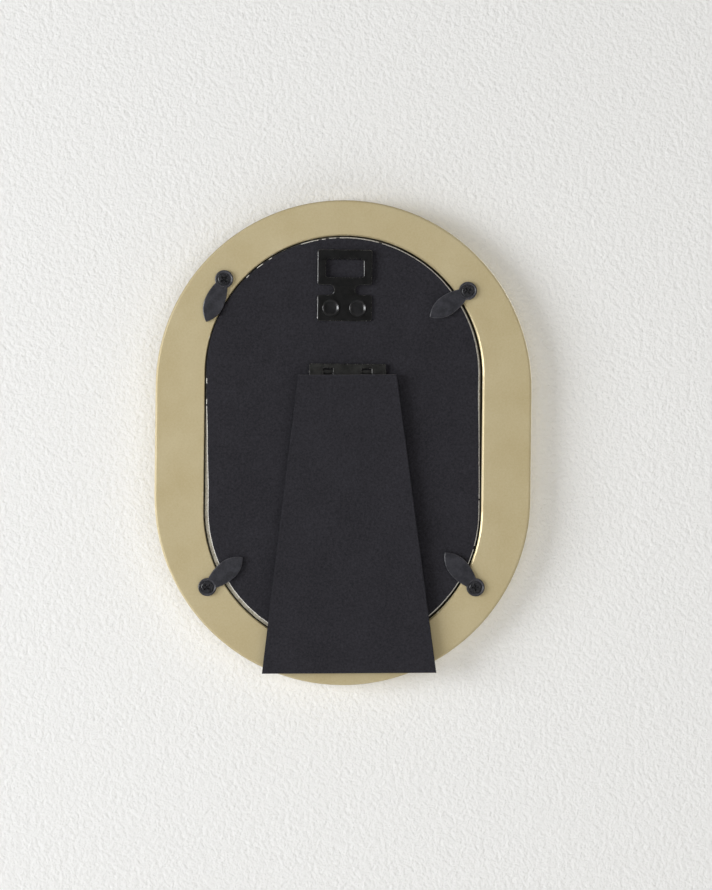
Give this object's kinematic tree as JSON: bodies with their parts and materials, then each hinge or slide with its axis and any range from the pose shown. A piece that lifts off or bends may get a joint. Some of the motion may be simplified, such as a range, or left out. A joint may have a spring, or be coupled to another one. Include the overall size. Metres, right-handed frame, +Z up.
{
  "type": "picture frame",
  "caption": "Oval gold picture frame with a glazed front, black backing board, toothed wall hanger, hinged easel leg and turn buttons that hold the backing in.",
  "frame": {"origin": "where a nail bears on the wall hanger: the middle notch of its toothed edge, at mid-thickness", "axes": "+Z up along the oval's long axis, -Y out of the picture side, +Y out of the back towards the wall"},
  "size_m": [0.14, 0.017, 0.1805],
  "materials": {
    "gold_paint": "satin gold paint on cast resin",
    "glass": "clear float glass",
    "white_paper": "blank matt print paper",
    "grey_board": "raw grey board",
    "black_paper": "matt black paper",
    "black_board": "black dyed board",
    "black_steel": "semi-gloss black lacquer",
    "charcoal_steel": "satin charcoal lacquer",
    "black_screw": "black oxide"
  },
  "bodies": {
    "frame": {"moulding": "gold_paint", "glass": "glass", "blank_print": "white_paper", "backing_board": "grey_board", "backing_facing": "black_paper", "hanger_plate": "black_steel", "hanger_rivets": "black_steel", "hinge_board_leaf": "black_steel", "hinge_board_rivets": "black_steel", "hinge_pin": "black_steel", "button_screws": "black_screw"},
    "leg": {"hinge_leg_leaf": "black_steel", "hinge_leg_rivets": "black_steel", "leg_board": "black_board", "leg_lining": "black_paper", "leg_facing": "black_paper"},
    "turn_button_upper_left": {"turn_button_upper_left": "charcoal_steel"},
    "turn_button_upper_right": {"turn_button_upper_right": "charcoal_steel"},
    "turn_button_lower_left": {"turn_button_lower_left": "charcoal_steel"},
    "turn_button_lower_right": {"turn_button_lower_right": "charcoal_steel"}
  },
  "joints": [
    {"name": "leg_swing", "type": "hinge", "parent": "frame", "child": "leg", "pos_m": [-0.0014, -0.00065, -0.0424], "axis": [1, 0, 0], "range_deg": [0, 27]},
    {"name": "button_turn_upper_left", "type": "hinge", "parent": "frame", "child": "turn_button_upper_left", "pos_m": [0.04482, -0.0015, -0.00841], "axis": [0, 1, 0], "continuous": true},
    {"name": "button_turn_upper_right", "type": "hinge", "parent": "frame", "child": "turn_button_upper_right", "pos_m": [-0.04583, -0.0015, -0.0118], "axis": [0, 1, 0], "continuous": true},
    {"name": "button_turn_lower_left", "type": "hinge", "parent": "frame", "child": "turn_button_lower_left", "pos_m": [0.04987, -0.0015, -0.1229], "axis": [0, 1, 0], "continuous": true},
    {"name": "button_turn_lower_right", "type": "hinge", "parent": "frame", "child": "turn_button_lower_right", "pos_m": [-0.04981, -0.0015, -0.12194], "axis": [0, 1, 0], "continuous": true}
  ]
}
